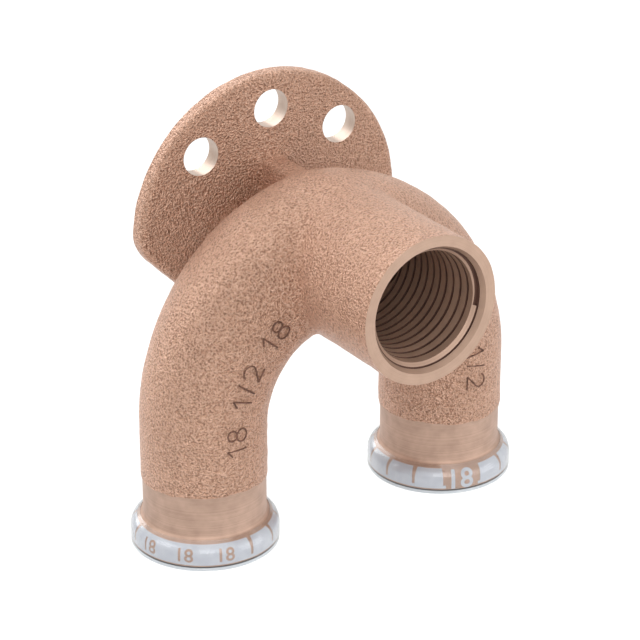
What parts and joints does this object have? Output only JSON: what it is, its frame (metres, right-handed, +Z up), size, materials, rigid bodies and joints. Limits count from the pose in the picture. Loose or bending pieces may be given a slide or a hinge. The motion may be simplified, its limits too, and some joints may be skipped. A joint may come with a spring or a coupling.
{
  "type": "wall plate double press elbow",
  "caption": "Bronze wall elbow: an inverted U of pipe ends in press sockets, with a female-threaded outlet in front and a round screw-on plate behind.",
  "frame": {"origin": "on the outlet's axis, where it meets the wall face of the plate", "axes": "+X from the left leg to the right leg, +Y into the wall, +Z up; the outlet points along -Y and the legs along -Z"},
  "size_m": [0.076, 0.0513, 0.0752],
  "materials": {
    "cast_bronze": "rough sand-cast gunmetal skin, machined satin at the outlet face, necks, sockets and screw holes",
    "seal_rubber": "smooth black moulded rubber",
    "indicator_film": "thin clear film printed white, with open slots where the bronze shows"
  },
  "bodies": {
    "root": {"cast_body": "cast_bronze", "left_seal_ring": "seal_rubber", "right_seal_ring": "seal_rubber", "left_press_indicator": "indicator_film", "right_press_indicator": "indicator_film"}
  },
  "joints": []
}
